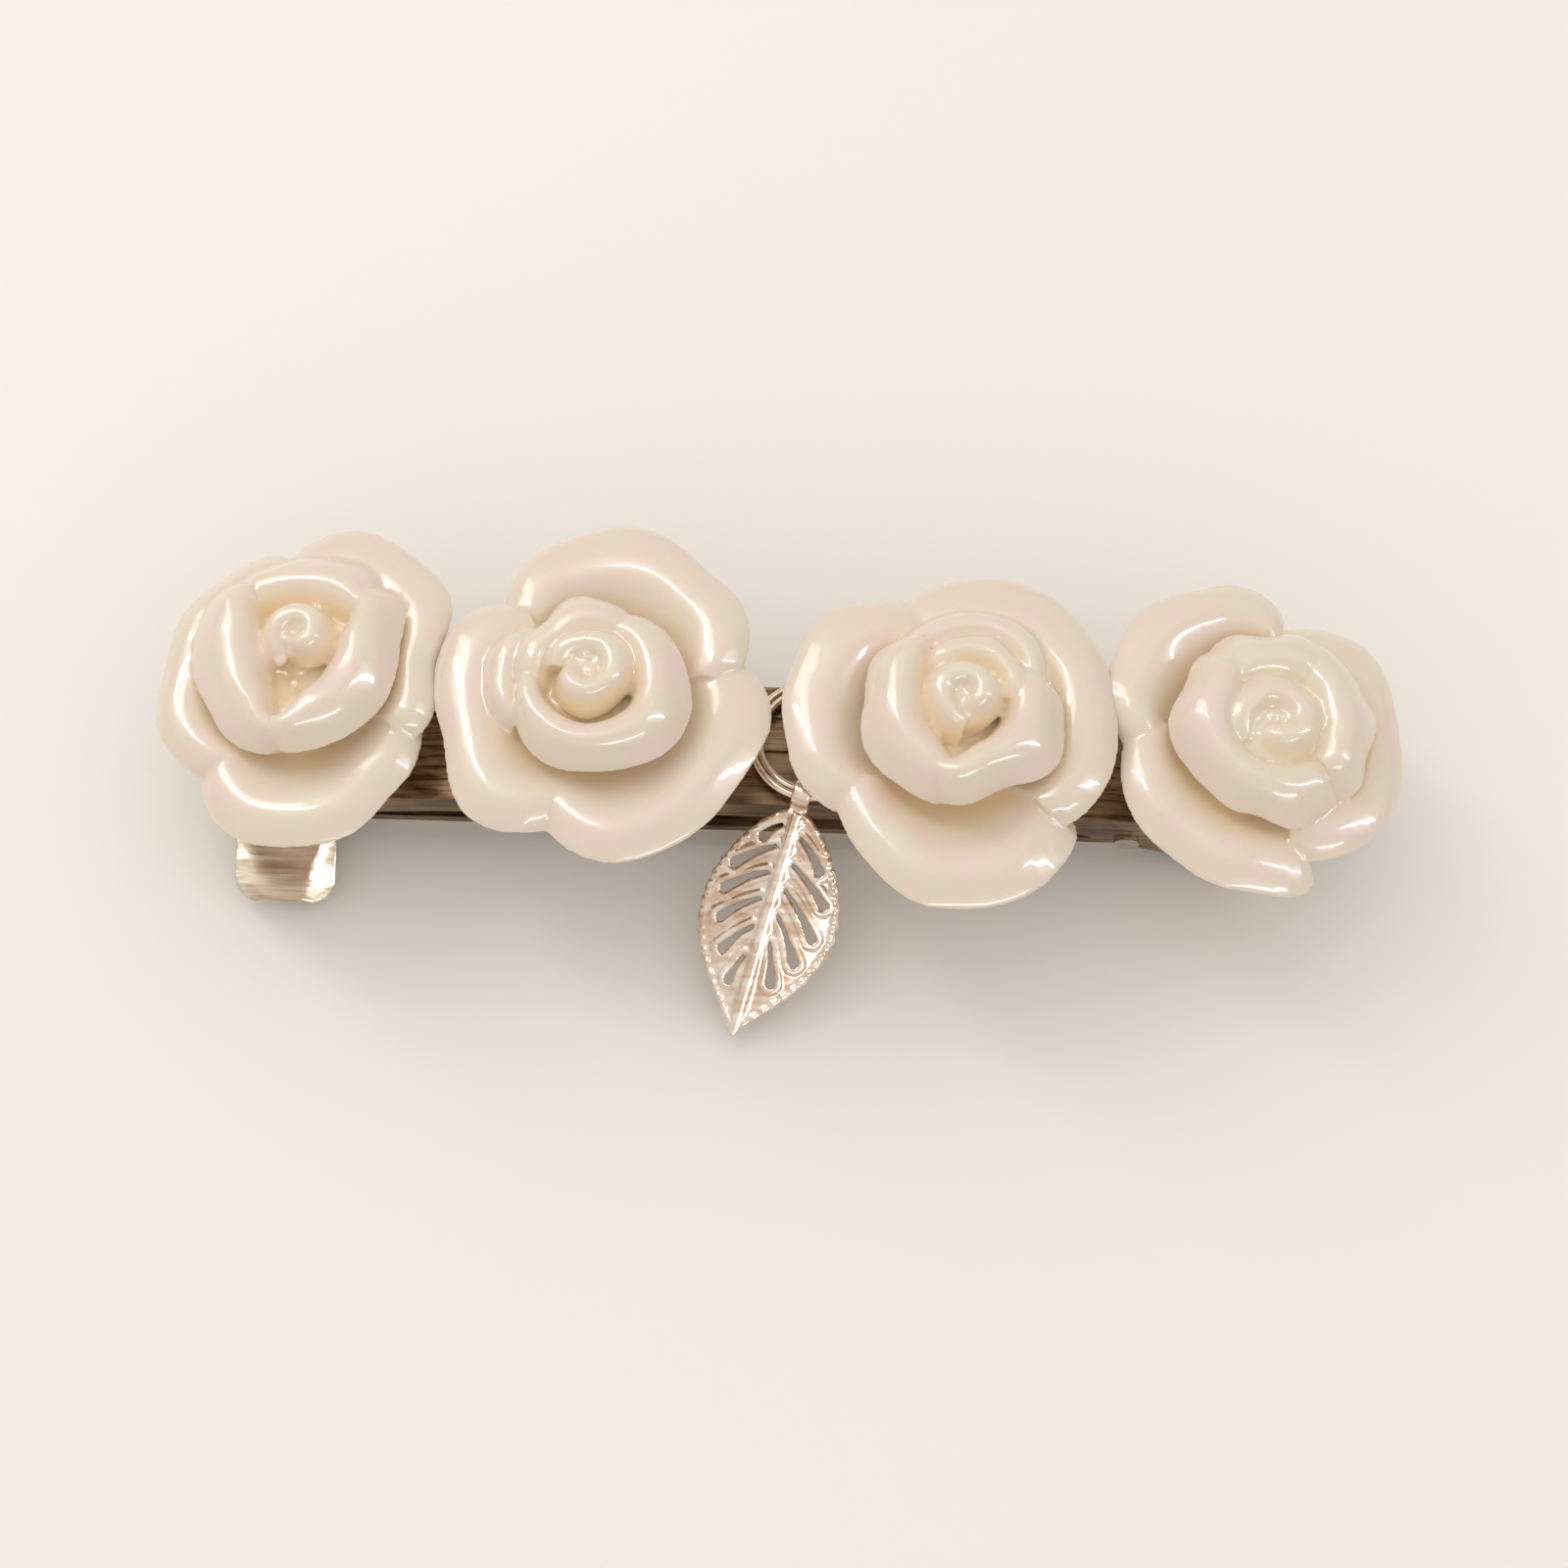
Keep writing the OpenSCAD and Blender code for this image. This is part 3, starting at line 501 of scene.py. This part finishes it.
def buildFinger(name, body, node, side):
    bm = bmesh.new()
    path = clasp["path"]
    grid = bmesh.ops.create_grid(bm, x_segments=clasp["columns"], y_segments=len(path) - 1, size=1.0)
    for vert in grid["verts"]:
        step = round((vert.co.y + 1) / 2 * (len(path) - 1))
        y, z = path[step]
        half = clasp["width"] / 2
        past = max(0.0, y - (clasp["reach"] - clasp["corner"]))
        half -= clasp["corner"] - math.sqrt(max(0.0, clasp["corner"] ** 2 - past ** 2))
        x = vert.co.x * half
        # the thumb rest is pressed into a low pillow and folded down along one edge
        wing = max(0.0, min(1.0, (y - 4.0) / 3.0))
        z += wing * (0.22 * (1 - vert.co.x ** 4) - 0.42 * max(0.0, x - 1.7 - 0.22 * (9.0 - y)))
        vert.co = Vector((clasp["middle"] + x, y * side, z)) * mm
    bmesh.ops.recalc_face_normals(bm, faces=bm.faces)
    finger = newObject(name, bm, lightPlate)
    thicken(finger, clasp["sheet"])
    bm = bmesh.new()
    bm.from_mesh(finger.data)
    y0, y1, half, z0, z1 = clasp["tab"]
    tab = bmesh.ops.create_cube(bm, size=1.0)
    bmesh.ops.scale(bm, vec=Vector((2 * half, y1 - y0, z1 - z0)) * mm, verts=tab["verts"])
    bmesh.ops.translate(bm, vec=Vector((clasp["middle"], side * (y0 + y1) / 2, (z0 + z1) / 2)) * mm,
                        verts=tab["verts"])
    bm.to_mesh(finger.data)
    bm.free()
    castAsOne(finger, clasp["voxel"], clasp["soften"])
    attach(finger, body)
    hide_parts(node)
    print(name, len(finger.data.polygons), "faces")


buildFinger("claspFingerFront", "front_finger", "front_ear", -1)
buildFinger("claspFingerRear", "rear_finger", "rear_ear", 1)

# the frame's own pieces that stay, and their finishes
finishes = {"face_bar": shadedBarPlate, "swing_arm": shadedBarPlate, "tension_bow": shadedBarPlate, "clasp_plate": lightPlate,
            "hinge_pin": pinSteel, "bow_pin": pinSteel, "clasp_rivet": pinSteel, "charm_ring": charmPlate,
            "glue_pad_1": glue, "glue_pad_2": glue, "glue_pad_3": glue, "glue_pad_4": glue}
for nodeName, material in finishes.items():
    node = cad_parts[nodeName]
    node.data.materials.clear()
    node.data.materials.append(material)
print("metal and glue finished")


# brightness of the tent low and overhead; the camera's distance and target in mm, and the width that it frames
studio = {"floor": "f4f2ef", "tent": "fdf8f2", "horizon": 0.55, "zenith": 0.88,
          "distance": 400.0, "azimuth": 2.0, "elevation": 68.0, "target": (0.6, -3.4, 11.0), "frameWidth": 113.5}
# panels that light everything, and narrow strips that only draw highlights on glaze and metal:
# place and size in metres, watts, tint, whether it lights all
lamps = [("keyPanel", (-0.24, 0.20, 0.30), 0.06, 0.34, 0.3, "fff6ec", True),
         ("topFill", (0.0, 0.1, 0.60), 0.40, 0.40, 0.22, "ffffff", True),
         ("leftStrip", (-0.20, 0.10, 0.30), 0.02, 0.30, 0.7, "fffaf2", False),
         ("frontStrip", (0.16, -0.34, 0.22), 0.30, 0.03, 0.5, "fff9f2", False),
         ("rightStrip", (0.30, -0.04, 0.24), 0.02, 0.30, 0.6, "fdf8ff", False)]


def buildStudio():
    bm = bmesh.new()
    bmesh.ops.create_grid(bm, x_segments=1, y_segments=1, size=1.5)
    floorMaterial, shader = newMaterial("palePaperFloor", {"Roughness": 0.85, "Base Color": srgb(studio["floor"])})
    place = addNode(floorMaterial, "ShaderNodeTexCoord")
    grain = addNode(floorMaterial, "ShaderNodeTexNoise", {"Scale": 900.0}, {"Vector": place.outputs["Object"]})
    bump = addNode(floorMaterial, "ShaderNodeBump", {"Strength": 0.05, "Distance": 0.0001},
                   {"Height": grain.outputs["Fac"]})
    joinTo(floorMaterial, bump.outputs["Normal"], shader, "Normal")
    floor = newObject("studioFloor", bm, floorMaterial, smooth=False)

    # a bright soft tent overhead that dims towards the horizon
    world = bpy.data.worlds.new("softStudio")
    bpy.context.scene.world = world
    world.use_nodes = True
    place = addNode(world, "ShaderNodeTexCoord")
    height = addNode(world, "ShaderNodeSeparateXYZ", {}, {"Vector": place.outputs["Generated"]})
    dim = addNode(world, "ShaderNodeMapRange",
                  {"From Min": -0.1, "From Max": 0.55, "To Min": studio["horizon"], "To Max": studio["zenith"]},
                  {"Value": height.outputs["Z"]})
    background = world.node_tree.nodes["Background"]
    background.inputs["Color"].default_value = srgb(studio["tent"])
    world.node_tree.links.new(dim.outputs["Result"], background.inputs["Strength"])

    for name, place, sizeX, sizeY, power, tint, lightsAll in lamps:
        data = bpy.data.lights.new(name, "AREA")
        data.shape = "RECTANGLE"
        data.size, data.size_y = sizeX, sizeY
        data.energy = power
        data.color = srgb(tint)[:3]
        lamp = bpy.data.objects.new(name, data)
        lamp.location = place
        lamp.rotation_euler = (Vector((0, 0, 0.01)) - Vector(place)).to_track_quat("-Z", "Y").to_euler()
        lamp.visible_diffuse = lightsAll
        bpy.context.scene.collection.objects.link(lamp)

    azimuth, elevation = math.radians(studio["azimuth"]), math.radians(studio["elevation"])
    away = Vector((math.sin(azimuth) * math.cos(elevation), -math.cos(azimuth) * math.cos(elevation),
                   math.sin(elevation)))
    camera = bpy.data.objects.new("camera", bpy.data.cameras.new("camera"))
    target = Vector(studio["target"]) * mm
    camera.location = target + away * studio["distance"] * mm
    camera.rotation_euler = (-away).to_track_quat("-Z", "Y").to_euler()
    camera.data.sensor_width = 36.0
    camera.data.lens = camera.data.sensor_width * studio["distance"] / studio["frameWidth"]
    camera.data.clip_start, camera.data.clip_end = 0.01, 10.0
    bpy.context.scene.collection.objects.link(camera)
    bpy.context.scene.camera = camera
    bpy.context.scene.view_settings.view_transform = "Standard"


buildStudio()
print("studio set")
